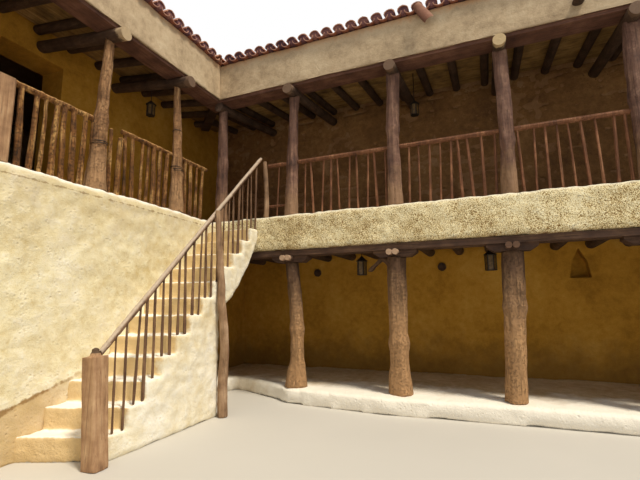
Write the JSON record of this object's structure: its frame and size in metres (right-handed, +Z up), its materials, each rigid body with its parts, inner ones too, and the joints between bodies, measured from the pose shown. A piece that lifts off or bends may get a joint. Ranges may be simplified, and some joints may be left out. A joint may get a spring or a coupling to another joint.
{
  "type": "adobe courtyard house corner",
  "caption": "Corner of a two-storey adobe courtyard house: timber galleries on two wings, a portico under one, a masonry stair with stick railing, and tiled earth roofs.",
  "frame": {"origin": "foot of the inner courtyard corner, on the ground, where the two wings' courtyard faces meet", "axes": "+Z up; +X along the back wing, to the right seen from the courtyard; -Y along the left wing"},
  "size_m": [14.05, 12.15, 6.0523],
  "materials": {
    "lime_plaster": "rough lime and mud plaster",
    "stair_plaster": "worn lime plaster",
    "fascia_plaster": "mud and lime plaster",
    "mud_plaster": "straw and mud plaster",
    "ochre_plaster": "ochre limewash on plaster",
    "bare_adobe": "bare adobe masonry",
    "trodden_lime_floor": "trodden lime floor",
    "earth_floor": "packed earth floor",
    "roof_tile": "fired clay barrel tile",
    "post_wood": "rough weathered log",
    "dark_log_wood": "smoke-dark log",
    "dark_beam_wood": "dark hewn timber",
    "eaves_beam_wood": "hewn reddish timber",
    "rail_wood": "peeled reddish sticks",
    "stair_rail_wood": "weathered poles",
    "newel_wood": "hewn reddish timber",
    "lantern_iron": "dark painted sheet iron"
  },
  "bodies": {
    "root": {"portico_floor": "trodden_lime_floor", "left_front_wall": "lime_plaster", "left_end_wall": "mud_plaster", "left_outer_wall": "mud_plaster", "back_outer_wall": "mud_plaster", "back_end_wall": "mud_plaster", "portico_end_wall": "ochre_plaster", "portico_back_wall": "ochre_plaster", "left_gallery_wall": "ochre_plaster", "back_gallery_wall": "bare_adobe", "left_upper_floor": "earth_floor", "back_upper_floor": "earth_floor", "gallery_band": "lime_plaster", "portico_beam": "dark_beam_wood", "portico_joists": "dark_log_wood", "portico_posts": "post_wood", "portico_brackets": "dark_beam_wood", "stair_base": "lime_plaster", "stair_half_arch": "lime_plaster", "stair_steps": "stair_plaster", "stair_newel": "newel_wood", "stair_railing": "stair_rail_wood", "stair_poles": "post_wood", "left_railings": "rail_wood", "back_railings": "rail_wood", "left_gallery_posts": "post_wood", "back_gallery_posts": "post_wood", "rail_block": "newel_wood", "left_eaves_beam": "eaves_beam_wood", "back_eaves_beam": "eaves_beam_wood", "left_ties": "dark_log_wood", "back_ties": "dark_log_wood", "left_fascia": "fascia_plaster", "back_fascia": "fascia_plaster", "left_rafters": "dark_log_wood", "back_rafters": "dark_log_wood", "valley_rafter": "dark_log_wood", "left_inner_roof": "roof_tile", "left_outer_roof": "roof_tile", "back_inner_roof": "roof_tile", "back_outer_roof": "roof_tile", "lanterns": "lantern_iron"}
  },
  "joints": []
}
